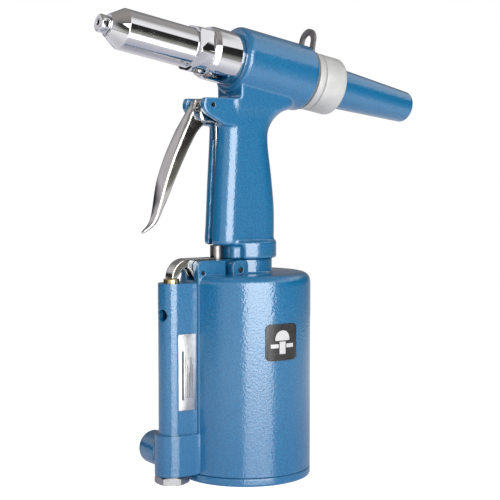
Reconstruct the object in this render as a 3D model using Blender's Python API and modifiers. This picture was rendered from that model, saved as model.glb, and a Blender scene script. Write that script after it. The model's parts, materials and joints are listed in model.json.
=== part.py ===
"""Air-over-hydraulic rivet gun: a pull-type riveter that sets blind rivets.

Frame: origin at the centre of the base's underside, on the air cylinder's axis.
+Z is up, the nose points to -X and the tool's left side faces -Y. The lengths below
are in millimetres, and MM turns them into metres.
"""
import math

import bmesh
import bpy
from mathutils import Vector

MM = 0.001
GAP = 0.3                       # clearance between pieces that touch
EPS = 1e-5

# ---- driving dimensions ------------------------------------------------------
CYL_R = 44.0                    # air cylinder, outside
CYL_BORE_R = 40.5
CYL_TOP = 137.0                 # flat top of the air cylinder
CYL_ROUND = 7.0                 # rounding of its upper edge
CYL_ROOF = 129.0                # inside of the top wall
CAP_TOP = 5.5                   # seam between base cap and cylinder
NECK_R = 18.0
NECK_TOP = 146.3
NECK_BORE_R = 14.3

BARREL_TILT = math.radians(10.93)   # nose up
BARREL_Z = 276.1                # height of the barrel's axis above the base centre
HEAD_R = 22.5
HEAD_FRONT = -10.8              # stations along the barrel, rearward positive
HEAD_REAR = 45.9
OIL_BORE_R = 16.8
HEX_FLATS = 29.2                # hexagon on the nose tube, across flats
HEX_STOCK_R = 16.4              # the round that its corners are left from
HEX_TURN = 47.0
PULL_STROKE = 14.0

GRIP_HALF = 14.0                # half the grip's width
GRIP_BOTTOM = 156.0
EAR_GAP = 9.0                   # half the slot between the ears
PIVOT = (-33.5, 247.5)          # trigger pin, X and Z
WEB_FACE = -12.5                # front of the neck between ears and head
SLOT_BACK = -14.6               # back wall of the slot between the ears
ROD_X = -22.7                   # trigger rod
ROD_R = 1.5
LEVER_PIVOT = (-39.6, 138.3)
NECK_PIN = (-13.8, 139.5)       # cross pin that locks the handle in the cylinder's neck

VALVE_X = -57.2                 # valve column's axis
COLUMN_R = 8.74
COLUMN_TOP = 132.0
BLOCK_R = 11.4                  # lower block of the column
BLOCK_TOP = 33.0
INLET_Z = 20.0
EXHAUST_Z = 111.5
LOW_GALLERY_Z = 14.5            # air ways from the valve to the cylinder, below and
HIGH_GALLERY_Z = 121.0          # above the piston
VALVE_BORE_R = 5.5

PISTON_Z = 18.0                 # underside of the air piston at rest
RAM_R = 7.6

PARTS = None
TOOLS = None


# ---- scene and materials -----------------------------------------------------
def clear_scene():
    for obj in list(bpy.data.objects):
        bpy.data.objects.remove(obj, do_unlink=True)


def new_collection(name):
    collection = bpy.data.collections.new(name)
    bpy.context.scene.collection.children.link(collection)
    return collection


FINISHES = {
    "blue_enamel": ((0.035, 0.22, 0.50), 0.35, 0.3),
    "chrome": ((0.78, 0.79, 0.80), 0.08, 1.0),
    "satin_aluminium": ((0.80, 0.80, 0.79), 0.40, 1.0),
    "polished_steel": ((0.55, 0.53, 0.50), 0.20, 1.0),
    "grey_steel": ((0.30, 0.29, 0.29), 0.50, 1.0),
    "dark_steel": ((0.10, 0.10, 0.11), 0.45, 1.0),
    "brass": ((0.75, 0.58, 0.27), 0.25, 1.0),
    "rubber": ((0.02, 0.02, 0.02), 0.80, 0.0),
    "black_badge": ((0.03, 0.03, 0.03), 0.30, 0.0),
    "foil_label": ((0.70, 0.71, 0.72), 0.35, 1.0),
}


def material(obj_name, finish):
    colour, roughness, metallic = FINISHES[finish]
    mat = bpy.data.materials.new(obj_name + "_" + finish)
    mat.use_nodes = True
    shader = mat.node_tree.nodes["Principled BSDF"]
    shader.inputs["Base Color"].default_value = (*colour, 1.0)
    shader.inputs["Roughness"].default_value = roughness
    shader.inputs["Metallic"].default_value = metallic
    mat.diffuse_color = (*colour, 1.0)
    return mat


def place(name, data, finish, parent=None, at=(0, 0, 0), turn=(0, 0, 0)):
    """Link new data as a part, or as a shaping tool where finish is None."""
    obj = bpy.data.objects.new(name, data)
    if finish is None:
        TOOLS.objects.link(obj)
        obj.hide_render = True
        obj.display_type = "WIRE"
    else:
        PARTS.objects.link(obj)
        data.materials.append(material(name, finish))
    obj.parent = parent
    obj.location = Vector(at) * MM
    obj.rotation_euler = turn
    return obj


# ---- shape helpers -----------------------------------------------------------
def turned(name, finish, profile, hollow=True, steps=32, **where):
    """Turn an (r, z) outline about the local Z axis, listed down its outer side first."""
    mesh = bpy.data.meshes.new(name)
    count = len(profile)
    links = count if hollow else count - 1
    edges = [(i, (i + 1) % count) for i in range(links)]
    mesh.from_pydata([(r * MM, 0.0, z * MM) for r, z in profile], edges, [])
    obj = place(name, mesh, finish, **where)
    screw = obj.modifiers.new("Turn", "SCREW")
    screw.axis = "Z"
    screw.steps = steps
    screw.render_steps = steps
    screw.use_merge_vertices = True
    screw.merge_threshold = EPS
    screw.use_smooth_shade = True
    return obj


def ring(name, finish, inner, outer, low, high, steps=32, **where):
    profile = [(outer, high), (outer, low), (inner, low), (inner, high)]
    return turned(name, finish, profile, steps=steps, **where)


def disc(name, finish, radius, low, high, steps=32, **where):
    profile = [(0, high), (radius, high), (radius, low), (0, low)]
    return turned(name, finish, profile, hollow=False, steps=steps, **where)


def o_ring(name, finish, middle, thickness, z, steps=32, **where):
    points = arc(middle, z, thickness / 2, 90, -270, 7)[:-1]
    return turned(name, finish, points, steps=steps, **where)


def arc(cx, cy, radius, start, end, count):
    """Points on an arc, angles in degrees, both ends included."""
    points = []
    for i in range(count):
        angle = math.radians(start + (end - start) * i / (count - 1))
        points.append((cx + radius * math.cos(angle), cy + radius * math.sin(angle)))
    return points


def polygon(sides, across_flats, turn=0.0):
    radius = across_flats / 2 / math.cos(math.pi / sides)
    return arc(0, 0, radius, turn, turn + 360, sides + 1)[:-1]


def to_mesh(obj):
    """Swap a curve object for a welded mesh object in the same place."""
    bpy.context.view_layer.update()
    graph = bpy.context.evaluated_depsgraph_get()
    mesh = bpy.data.meshes.new_from_object(obj.evaluated_get(graph))
    bm = bmesh.new()
    bm.from_mesh(mesh)
    bmesh.ops.remove_doubles(bm, verts=bm.verts, dist=EPS)
    bmesh.ops.recalc_face_normals(bm, faces=bm.faces)
    bm.to_mesh(mesh)
    bm.free()
    solid = bpy.data.objects.new(obj.name, mesh)
    for collection in obj.users_collection:
        collection.objects.link(solid)
    solid.hide_render = obj.hide_render
    solid.display_type = obj.display_type
    solid.parent = obj.parent
    solid.matrix_world = obj.matrix_world.copy()
    name = obj.name
    bpy.data.objects.remove(obj)
    solid.name = name
    return solid


def plate(name, finish, outlines, low, high, **where):
    """Flat outline in local XY, solid from low to high; further outlines are holes."""
    curve = bpy.data.curves.new(name, "CURVE")
    curve.dimensions = "2D"
    curve.fill_mode = "BOTH"
    curve.extrude = (high - low) / 2 * MM
    for outline in outlines:
        spline = curve.splines.new("POLY")
        spline.points.add(len(outline) - 1)
        for point, (x, y) in zip(spline.points, outline):
            point.co = (x * MM, y * MM, 0.0, 1.0)
        spline.use_cyclic_u = True
    obj = place(name, curve, finish, **where)
    obj.location += obj.rotation_euler.to_matrix() @ Vector((0, 0, (low + high) / 2 * MM))
    return to_mesh(obj)


SIDE = (math.pi / 2, 0.0, 0.0)      # local XY becomes X and Z, local Z becomes -Y
ALONG_X = (0.0, math.pi / 2, 0.0)   # local Z becomes +X
ALONG_Y = (-math.pi / 2, 0.0, 0.0)  # local Z becomes +Y


def loft(name, finish, sections, **where):
    """Skin a stack of point rings that all have the same count, and cap both ends."""
    bm = bmesh.new()
    rings = [[bm.verts.new(Vector(p) * MM) for p in section] for section in sections]
    count = len(rings[0])
    for low, high in zip(rings, rings[1:]):
        for i in range(count):
            j = (i + 1) % count
            bm.faces.new((low[i], low[j], high[j], high[i]))
    bm.faces.new(rings[0])
    bm.faces.new(rings[-1])
    bmesh.ops.recalc_face_normals(bm, faces=bm.faces)
    mesh = bpy.data.meshes.new(name)
    bm.to_mesh(mesh)
    bm.free()
    return place(name, mesh, finish, **where)


def box(name, finish, low, high, **where):
    bm = bmesh.new()
    bmesh.ops.create_cube(bm, size=1.0)
    low, high = Vector(low) * MM, Vector(high) * MM
    bmesh.ops.scale(bm, vec=high - low, verts=bm.verts)
    bmesh.ops.translate(bm, vec=(high + low) / 2, verts=bm.verts)
    mesh = bpy.data.meshes.new(name)
    bm.to_mesh(mesh)
    bm.free()
    return place(name, mesh, finish, **where)


def combine(target, tool, operation="DIFFERENCE"):
    modifier = target.modifiers.new(operation.title() + " " + tool.name, "BOOLEAN")
    modifier.operation = operation
    modifier.solver = "EXACT"
    modifier.object = tool


def cut(target, *tools):
    for tool in tools:
        combine(target, tool, "DIFFERENCE")


def join(target, *tools):
    for tool in tools:
        combine(target, tool, "UNION")


def drill(name, radius, start, end, turn=(0, 0, 0), steps=24, parent=None):
    """A round cutter of the given radius from start, running end - start along local Z."""
    length = (Vector(end) - Vector(start)).length
    return disc(name, None, radius, 0, length, steps=steps, at=start, turn=turn, parent=parent)


def coil(name, finish, radius, wire, low, high, turns, **where):
    """Compression spring along local Z, as one round wire."""
    per_turn = 8
    curve = bpy.data.curves.new(name, "CURVE")
    curve.dimensions = "3D"
    curve.bevel_depth = wire / 2 * MM
    curve.bevel_resolution = 1
    curve.use_fill_caps = True
    spline = curve.splines.new("POLY")
    total = turns * per_turn
    spline.points.add(total)
    for i in range(total + 1):
        angle = 2 * math.pi * i / per_turn
        z = low + wire / 2 + (high - low - wire) * i / total
        x, y = radius * math.cos(angle), radius * math.sin(angle)
        spline.points[i].co = (x * MM, y * MM, z * MM, 1.0)
    return place(name, curve, finish, **where)


def barrel_frame():
    """Empty whose local Z runs rearward along the barrel; local -X is the barrel's up."""
    frame = bpy.data.objects.new("barrel_axis", None)
    PARTS.objects.link(frame)
    frame.location = (0.0, 0.0, BARREL_Z * MM)
    frame.rotation_euler = (0.0, math.pi / 2 + BARREL_TILT, 0.0)
    return frame


# ---- handle and head casting -------------------------------------------------
def grip_section(z, front, rear, half, front_round=10.5, rear_round=12.0):
    """Rounded rectangle in the XY plane at height z."""
    front_round = min(front_round, half - 0.5)
    rear_round = min(rear_round, half - 0.5)
    corners = [
        (rear - rear_round, half - rear_round, rear_round, 0),
        (front + front_round, half - front_round, front_round, 90),
        (front + front_round, front_round - half, front_round, 180),
        (rear - rear_round, rear_round - half, rear_round, 270),
    ]
    points = []
    for cx, cy, radius, start in corners:
        points += arc(cx, cy, radius, start, start + 90, 5)
    return [(x, y, z) for x, y in points]


GRIP_SECTIONS = [               # height, front X, rear X, half width
    (GRIP_BOTTOM, -26.6, 17.9, 12.8),
    (GRIP_BOTTOM + 1.6, -28.0, 19.2, GRIP_HALF),
    (168.0, -27.4, 19.6, GRIP_HALF),
    (180.0, -26.8, 19.4, GRIP_HALF),
    (192.0, -26.2, 18.3, GRIP_HALF),
    (204.0, -25.5, 16.9, GRIP_HALF),
    (214.0, -24.9, 15.4, GRIP_HALF),
    (224.0, -24.3, 14.3, GRIP_HALF),
    (231.0, -24.0, 14.7, GRIP_HALF),
    (236.0, -23.8, 17.0, GRIP_HALF),
    (240.0, -23.8, 20.2, GRIP_HALF),
    (244.0, -23.8, 25.6, GRIP_HALF + 0.3),
    (248.0, -23.8, 34.0, GRIP_HALF + 0.7),
    (262.0, -23.8, 38.0, GRIP_HALF + 1.2),
]


def ear_outline():
    """Side view of the two ears that hold the trigger pin."""
    x, z = PIVOT
    return arc(x, z, 7.2, 80, 238, 10) + [(-24.0, 234.2), (-9.0, 234.0), (-9.0, 251.4)]


APRON = [                       # outline of the flange's front, behind the rod's foot
    (-9.0, 12.8), (-14.0, 12.8), (-17.2, 10.6), (-18.0, 7.6),
    (-18.0, -7.6), (-17.2, -10.6), (-14.0, -12.8), (-9.0, -12.8)]


def handle_casting(barrel):
    casting = loft("handle_casting", "blue_enamel", [grip_section(*row) for row in GRIP_SECTIONS])
    ears = plate("ear_tool", None, [ear_outline()], -GRIP_HALF, GRIP_HALF, turn=SIDE)
    above_ears = box("web_cutter", None, (-60, -22, 252.2), (WEB_FACE, 22, 270))
    relief = box("web_relief_cutter", None, (-30, -2.1, 253.6), (WEB_FACE + 2.2, 2.1, 264))
    join(casting, ears)
    cut(casting, above_ears, relief)
    head = disc("head_tool", None, HEAD_R, HEAD_FRONT, HEAD_REAR, steps=36, parent=barrel)
    bevel = head.modifiers.new("Rim", "BEVEL")
    bevel.width = 1.6 * MM
    bevel.segments = 1
    bevel.limit_method = "ANGLE"
    flange = disc("flange_tool", None, 21.0, NECK_TOP + GAP, GRIP_BOTTOM + 2, steps=28)
    low_z = CYL_ROOF + GAP
    spigot = turned("spigot_tool", None, [
        (0, NECK_TOP + 2), (14.0, NECK_TOP + 2), (14.0, 141.8), (11.9, 141.8),
        (11.9, 137.2), (14.0, 137.2), (14.0, low_z), (0, low_z)], hollow=False, steps=20)
    join(casting, head, flange, spigot)
    barrel_bore = turned("barrel_bore_cutter", None, [
        (0, HEAD_REAR + 2), (OIL_BORE_R, HEAD_REAR + 2), (OIL_BORE_R, 3.0), (11.5, 3.0),
        (11.5, -2.6), (15.8, -2.6), (15.8, HEAD_FRONT - 0.1), (18.1, HEAD_FRONT - 0.1),
        (18.1, HEAD_FRONT - 20), (0, HEAD_FRONT - 20)],
        hollow=False, steps=24, parent=barrel)
    ram_bore = turned("ram_bore_cutter", None, [
        (0, 236.0), (8.0, 236.0), (8.0, 136.0), (10.8, 136.0),
        (10.8, low_z - 2), (0, low_z - 2)], hollow=False, steps=18)
    oil_port = drill("oil_port_cutter", 2.5, (6.5, 0, 234), (6.5, 0, 262), steps=16)
    slot = box("ear_slot_cutter", None, (-60, -EAR_GAP, 235.6), (SLOT_BACK, EAR_GAP, 254.6))
    groove = box("groove_cutter", None, (-32, -1.95, 150), (-20.8, 1.95, 237))
    pocket = box("groove_pocket_cutter", None, (-32, -3.6, 225.2), (-20.5, 3.6, 237))
    foot_pocket = drill("foot_pocket_cutter", 4.7, (ROD_X, 0, 150), (ROD_X, 0, 159.8))
    front_flat = box("flange_front_cutter", None, (-30, -30, NECK_TOP - 1), (-12, 30, GRIP_BOTTOM - 0.05))
    apron = plate("apron_tool", None, [APRON], NECK_TOP + GAP, GRIP_BOTTOM + 0.8)
    pin_hole = drill("trigger_pin_cutter", 1.65, (PIVOT[0], -20, PIVOT[1]),
                     (PIVOT[0], 20, PIVOT[1]), turn=ALONG_Y, steps=20)
    cut(casting, barrel_bore, oil_port, slot, groove, pocket, front_flat, pin_hole)
    join(casting, apron)
    cut(casting, ram_bore, foot_pocket)


# ---- nose, jaws and pull piston ----------------------------------------------
def nose(barrel):
    head = turned("frame_head", "chrome", [
        (15.5, -2.9), (15.5, HEAD_FRONT), (17.5, HEAD_FRONT - GAP), (17.5, -29.4),
        (HEX_STOCK_R, -32.8), (HEX_STOCK_R, -43.0), (15.4, -44.0), (13.25, -44.3),
        (13.25, -94.6), (7.2, -104.3), (4.8, -104.3), (4.8, -97.2), (10.4, -96.0),
        (10.4, -2.9)], steps=30, parent=barrel)
    flats = plate("hex_cutter", None, [arc(0, 0, 24, 0, 360, 25)[:-1],
                                       polygon(6, HEX_FLATS, HEX_TURN)], -46.0, -33.4, parent=barrel)
    cut(head, flats)
    piece = turned("nosepiece", "chrome", [
        (4.4, -96.3), (4.4, -104.6), (5.8, -104.6), (5.8, -109.7), (4.8, -110.7),
        (1.8, -110.7), (1.8, -97.5), (2.6, -96.3)], steps=24, parent=barrel)
    tip_flats = plate("nosepiece_flats", None, [arc(0, 0, 9, 0, 360, 17)[:-1], polygon(6, 10.4, 0)],
                      -107.6, -103.0, parent=barrel)
    cut(piece, tip_flats)


def jaws(barrel):
    turned("jaw_case", "dark_steel", [
        (10.0, -23.0), (10.0, -88.0), (8.6, -93.0), (3.9, -93.0), (3.9, -90.5),
        (7.9, -72.0), (7.9, -40.2), (8.8, -40.2), (8.8, -22.0)], steps=24, parent=barrel)
    spread = 112.0
    for number in range(3):
        middle = 120.0 * number
        sections = []
        for step in range(6):
            angle = math.radians(middle - spread / 2 + spread * step / 5)
            outline = [(1.7, -89.0), (3.7, -89.0), (6.7, -75.2), (1.7, -75.2)]
            sections.append([(r * math.cos(angle), r * math.sin(angle), s) for r, s in outline])
        loft("jaw_%d" % (number + 1), "dark_steel", sections, parent=barrel)
    turned("jaw_pusher", "polished_steel", [
        (6.9, -66.0), (6.9, -72.0), (5.2, -74.8), (2.4, -74.8), (2.4, -66.0)],
        steps=18, parent=barrel)
    coil("jaw_spring", "polished_steel", 5.4, 1.2, -65.6, -40.6, 5, parent=barrel)


def pull_piston(barrel):
    turned("pull_piston", "polished_steel", [
        (8.0, 30.0), (8.0, 22.0), (16.3, 22.0), (16.3, 19.2), (13.2, 19.2), (13.2, 14.8),
        (16.3, 14.8), (16.3, 12.5), (8.4, 12.5), (8.4, -40.0), (3.9, -40.0), (3.9, 30.0)],
        steps=24, parent=barrel)
    ring("pull_piston_seal", "rubber", 13.5, 16.6, 15.1, 18.9, steps=24, parent=barrel)
    ring("front_gland", "brass", 8.7, 11.2, -2.3, 2.7, steps=24, parent=barrel)
    coil("return_spring", "polished_steel", 11.3, 2.2, 22.4, 62.2, 7, parent=barrel)


def rear_end(barrel):
    hanger_plate(barrel)
    turned("lock_ring", "satin_aluminium", [
        (15.1, 60.0), (15.1, 53.9), (20.0, 53.9), (20.0, 48.2), (16.4, 48.2),
        (16.4, 36.5), (13.5, 36.5), (13.5, 60.0)], steps=30, parent=barrel)
    turned("end_cap", "satin_aluminium", [
        (18.8, 71.6), (19.8, 70.6), (19.8, 55.0), (19.0, 54.2), (15.4, 54.2), (15.4, 65.5),
        (9.3, 65.5), (9.3, 71.6)], steps=30, parent=barrel)
    turned("mandrel_tube", "polished_steel", [
        (3.4, 73.5), (3.4, 65.2), (14.8, 65.2), (14.8, 62.6), (3.4, 62.6), (3.4, -36.0),
        (2.7, -36.0), (2.7, 73.5)], steps=16, parent=barrel)
    end = 139.5
    outer = arc(10.9 - 2.5, end - 2.5, 2.5, 90, 0, 4)
    turned("mandrel_collector", "blue_enamel", [(0, end)] + outer + [
        (14.2, 72.6), (13.4, 71.9), (9.0, 71.9), (9.0, 66.0), (7.0, 66.0), (7.0, 74.0),
        (12.0, 76.0), (8.8, end - 2.6), (0, end - 2.6)], hollow=False, steps=24, parent=barrel)


def hanger_plate(barrel):
    """Washer clamped behind the head, with a hanging eye above it."""
    low, high = HEAD_REAR + GAP, 47.9
    eye_height, eye_r, hole_r, washer_r = 25.9, 9.0, 4.6, 21.0
    side = math.degrees(math.asin(eye_r / washer_r))
    washer = arc(0, 0, washer_r, -180 + side, 180 - side, 27)
    loop = arc(-eye_height, 0, eye_r, 90, 270, 13)
    hole = arc(-eye_height, 0, hole_r, 90, 270, 11) + [(-22.2, -hole_r), (-22.2, hole_r)]
    bore = arc(0, 0, 16.8, 0, 360, 31)[:-1]
    plate("hanger_plate", "grey_steel", [washer + loop, hole, bore], low, high, parent=barrel)


# ---- trigger train -----------------------------------------------------------
TRIGGER_SECTIONS = [            # height, front X, rear X, half width
    (165.0, -78.8, -77.4, 0.9),
    (166.6, -77.6, -74.6, 1.6),
    (169.5, -74.2, -70.8, 2.6),
    (173.5, -71.4, -67.8, 3.4),
    (181.0, -69.1, -64.6, 4.5),
    (190.0, -67.0, -60.8, 5.7),
    (198.0, -64.9, -57.6, 6.4),
    (206.0, -62.1, -53.8, 6.6),
    (214.0, -58.9, -49.8, 6.7),
    (222.0, -55.1, -45.4, 6.6),
    (230.5, -50.9, -39.8, 6.2),
    (236.0, -47.8, -33.5, 5.5),
    (239.0, -46.2, -30.0, 5.0),
    (243.2, -43.7, -27.4, 4.6),
    (243.8, -43.4, -40.4, 4.3),
    (246.2, -42.1, -39.8, 3.3),
    (248.8, -40.4, -38.6, 2.0),
    (251.0, -38.9, -37.7, 0.9),
]
HUB_R = 4.4


def trigger_section(z, front, rear, half):
    """Flat box section with cut corners."""
    cut_off = min(1.4, (rear - front) / 3, half / 2)
    points = [
        (rear, half - cut_off), (rear - cut_off, half), (front + cut_off, half),
        (front, half - cut_off), (front, cut_off - half), (front + cut_off, -half),
        (rear - cut_off, -half), (rear, cut_off - half)]
    return [(x - PIVOT[0], y, z - PIVOT[1]) for x, y in points]


def trigger_train():
    x, z = PIVOT
    pivot = (x, 0, z)
    blade = loft("trigger", "polished_steel", [trigger_section(*row) for row in TRIGGER_SECTIONS],
                 at=pivot)
    arm_outline = [(-36, 236.2), (-19.6, 236.2), (-19.6, 244.6), (-27.2, 244.6), (-30, 247)] + [
        (-37.4, 247), (-37.4, 240)]
    arm = plate("trigger_arm_tool", None, [arm_outline], -5.3, 5.3, turn=SIDE)
    hub = disc("trigger_hub_tool", None, HUB_R, -8.3, 8.3, steps=24, at=(0, 0, 0), parent=blade,
               turn=ALONG_Y)
    fork = box("fork_cutter", None, (-27.6, -2.1, 230), (-15, 2.1, 252))
    hole = drill("trigger_hub_cutter", 1.65, (x, -20, z), (x, 20, z), turn=ALONG_Y, steps=20)
    join(blade, arm, hub)
    cut(blade, fork, hole)
    ring("trigger_pin", "dark_steel", 0.8, ROD_R, -13.4, 13.4, steps=16, at=pivot, turn=ALONG_Y)
    disc("trigger_rod", "polished_steel", ROD_R, 150.5, 249.4, steps=16, at=(ROD_X, 0, 0))
    plate("rod_nut", "polished_steel", [polygon(6, 6.0, 0), arc(0, 0, 1.7, 0, 360, 17)[:-1]],
          245.5, 248.5, at=(ROD_X, 0, 0))
    foot = turned("rod_foot", "polished_steel", [
        (1.7, 155.4), (3.8, 155.4), (4.2, 155.0), (4.2, 143.8), (3.8, 143.4), (0, 143.4),
        (0, 149.9), (1.7, 149.9)], steps=18, at=(ROD_X, 0, 0))
    tongue_slot = box("foot_slot_cutter", None, (-30, -2.4, 144.8), (-15, 2.4, 148.8))
    cut(foot, tongue_slot)


def valve_lever():
    """Inverted channel; the front end curls down onto the valve button."""
    x, z = LEVER_PIVOT
    top, curl_x, curl_z, outer, inner = 147.5, -46.5, 134.9, 12.6, 7.4
    end_z = 135.1
    silhouette = [(-26.5, top)] + arc(curl_x, curl_z, outer, 90, 180, 9) + [
        (curl_x - outer, end_z), (curl_x - 9.4, end_z)] + arc(
        curl_x, curl_z, inner, 150, 100, 5) + [
        (-44.4, 139.0)] + arc(x, z, 4.2, 190, 320, 7) + [(-30.5, 143.5), (-26.5, 145.9)]
    lever = plate("valve_lever", "chrome", [silhouette], -4.5, 4.5, turn=SIDE)
    skin = 1.5
    hollow = [(-20, top - skin)] + arc(curl_x, curl_z, outer - skin, 90, 180, 9) + [
        (curl_x - outer + skin, 120.0), (-20, 120.0)]
    channel = plate("lever_channel_cutter", None, [hollow], -3.2, 3.2, turn=SIDE)
    cut(lever, channel)
    tongue = box("lever_tongue_tool", None, (-30.0, -2.0, 146.05), (-18.9, 2.0, top))
    join(lever, tongue)
    hole = drill("lever_hole_cutter", 1.45, (x, -8, z), (x, 8, z), turn=ALONG_Y, steps=16)
    cut(lever, hole)
    ring("lever_pin", "dark_steel", 0.6, 1.3, -10.5, 10.5, steps=16, at=(x, 0, z), turn=ALONG_Y)


# ---- air cylinder and valve column -------------------------------------------
def stadium(radius, back):
    """Outline in XY: round front about the valve's axis, straight sides to X = back."""
    front = arc(VALVE_X, 0, radius, 90, 270, 11)
    return [(back, radius)] + front + [(back, -radius)]


def cylinder_casting():
    shoulder = arc(CYL_R - CYL_ROUND, CYL_TOP - CYL_ROUND, CYL_ROUND, 90, 0, 5)
    bottom = CAP_TOP + GAP
    casting = turned("cylinder_casting", "blue_enamel", [
        (NECK_R, NECK_TOP), (NECK_R, CYL_TOP + 2.2), (NECK_R + 2.4, CYL_TOP)] + shoulder + [
        (CYL_R, bottom), (CYL_BORE_R, bottom), (CYL_BORE_R, CYL_ROOF), (9.0, CYL_ROOF),
        (9.0, NECK_TOP)], steps=48)
    wall = 2.6 - CYL_R
    column = plate("column_tool", None, [stadium(COLUMN_R, wall)], 25.0, COLUMN_TOP)
    block = plate("block_tool", None, [stadium(BLOCK_R, wall + 0.5)], bottom + 0.2, BLOCK_TOP)
    web = box("web_tool", None, (-43.2, -11.1, BLOCK_TOP - 5), (wall, 11.1, CYL_TOP - 4))
    boss = disc("inlet_boss_tool", None, 11.2, 6.0, 25.5, steps=24,
                at=(VALVE_X, 0, INLET_Z), turn=ALONG_Y)
    wall_outline = [(-43.5, 131), (-22.1, 131), (-22.1, 146.2)] + arc(-40.5, 143.2, 3.0, 90, 180, 5)
    lug_outline = [(-20, 132), (-8, 132)] + arc(-11, 142.9, 3.0, 0, 90, 4) + arc(
        -16, 141.9, 4.0, 90, 180, 5)
    join(casting, column, block, web, boss)
    for side, sign in (("near", 1), ("far", -1)):
        cheek = plate("cheek_tool_" + side, None, [wall_outline], *sorted((sign * 5.0, sign * 11.1)),
                      turn=SIDE)
        lug = plate("lug_tool_" + side, None, [lug_outline], *sorted((sign * 10.0, sign * 16.2)),
                    turn=SIDE)
        join(casting, cheek, lug)
    neck_bore = drill("neck_bore_cutter", NECK_BORE_R, (0, 0, CYL_ROOF - 1), (0, 0, NECK_TOP + 1),
                      steps=24)
    channel = box("channel_cutter", None, (-49, -5.1, 133.2), (-19.5, 5.1, 150))
    x, z = LEVER_PIVOT
    lever_hole = drill("cheek_hole_cutter", 1.5, (x, -15, z), (x, 15, z), turn=ALONG_Y, steps=16)
    pin_x, pin_z = NECK_PIN
    neck_hole = drill("neck_pin_cutter", 1.9, (pin_x, -20, pin_z), (pin_x, 20, pin_z),
                      turn=ALONG_Y, steps=16)
    valve_bore = turned("valve_bore_cutter", None, [
        (0, COLUMN_TOP + 2), (VALVE_BORE_R, COLUMN_TOP + 2), (VALVE_BORE_R, 12.0), (9.0, 12.0),
        (9.0, bottom - 2), (0, bottom - 2)], hollow=False, steps=20, at=(VALVE_X, 0, 0))
    port = turned("inlet_port_cutter", None, [
        (0, 30), (6.4, 30), (6.4, 12.5), (3.5, 11.0), (3.5, 0), (0, 0)], hollow=False, steps=16,
        at=(VALVE_X, 0, INLET_Z), turn=ALONG_Y)
    exhaust = drill("exhaust_cutter", 3.8, (-70, 0, EXHAUST_Z), (-58, 0, EXHAUST_Z),
                    turn=ALONG_X, steps=16)
    cut(casting, neck_bore, channel, lever_hole, neck_hole, valve_bore, port, exhaust)
    for name, height in (("low", LOW_GALLERY_Z), ("high", HIGH_GALLERY_Z)):
        cut(casting, drill(name + "_gallery_cutter", 2.2, (-58, 0, height), (-38, 0, height),
                           turn=ALONG_X, steps=12))
    disc("neck_pin", "dark_steel", 1.6, -15.4, 15.4, steps=16, at=(pin_x, 0, pin_z), turn=ALONG_Y)


def base_end():
    turned("base_cap", "blue_enamel", [
        (0, 3.2), (35.5, 3.2), (35.5, 11.0), (40.2, 11.0), (40.2, 9.8), (38.2, 9.8), (38.2, 7.2),
        (40.2, 7.2), (40.2, CAP_TOP), (CYL_R, CAP_TOP), (CYL_R, 1.4), (42.8, 0), (0, 0)],
        hollow=False, steps=48)
    o_ring("base_cap_seal", "rubber", 39.35, 1.7, 8.5, steps=30)


def air_side():
    z = PISTON_Z
    turned("air_piston", "satin_aluminium", [
        (13.0, z + 10), (13.0, z + 6), (39.9, z + 6), (39.9, z + 4.6), (36.4, z + 4.6),
        (36.4, z + 1.4), (39.9, z + 1.4), (39.9, z), (5.2, z), (5.2, z + 10)], steps=30)
    ring("air_piston_seal", "rubber", 36.8, 40.2, z + 1.7, z + 4.3, steps=30)
    turned("ram", "polished_steel", [
        (0, 141.0), (RAM_R - 0.8, 141.0), (RAM_R, 140.2), (RAM_R, z + 10.3), (4.9, z + 10.3),
        (4.9, z - 5.4), (0, z - 5.4)], hollow=False, steps=20)
    plate("ram_nut", "grey_steel", [polygon(6, 17.0), arc(0, 0, 5.2, 0, 360, 25)[:-1]],
          z - 5.0, z - GAP)
    ring("ram_gland", "brass", 7.9, 10.5, 129.8, 135.7, steps=28)
    ring("bumper_ring", "rubber", 15.5, 26.0, 123.4, CYL_ROOF - GAP, steps=28)


def valve():
    axis = (VALVE_X, 0, 0)
    turned("valve_button", "brass", [
        (0, 134.7), (4.6, 134.7), (5.2, 134.1), (5.2, 128.4), (2.2, 128.4), (2.2, 126.5),
        (0, 126.5)], hollow=False, steps=20, at=axis)
    turned("valve_spool", "polished_steel", [
        (0, 126.2), (5.1, 126.2), (5.1, 124.4), (3.7, 124.4), (3.7, 122.2), (5.1, 122.2),
        (5.1, 120.0), (2.4, 118.0), (2.4, 48.0), (5.1, 46.0), (5.1, 43.4), (3.7, 43.4),
        (3.7, 41.2), (5.1, 41.2), (5.1, 37.0), (0, 37.0)], hollow=False, steps=14, at=axis)
    o_ring("spool_ring_upper", "rubber", 4.55, 1.3, 123.3, steps=16, at=axis)
    o_ring("spool_ring_lower", "rubber", 4.55, 1.3, 42.3, steps=16, at=axis)
    coil("valve_spring", "polished_steel", 4.1, 1.1, 12.0, 36.6, 5, at=axis)
    plug = turned("valve_plug", "polished_steel", [
        (0, 11.5), (8.7, 11.5), (8.7, 5.2), (10.4, 5.2), (11.5, 4.4), (11.5, 1.2), (10.6, 0.4),
        (0, 0.4)], hollow=False, steps=18, at=axis)
    flats = plate("plug_flats", None, [arc(0, 0, 18, 0, 360, 25)[:-1], polygon(6, 20.0, 30)],
                  -1.0, 5.25, at=axis)
    cut(plug, flats)


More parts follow.
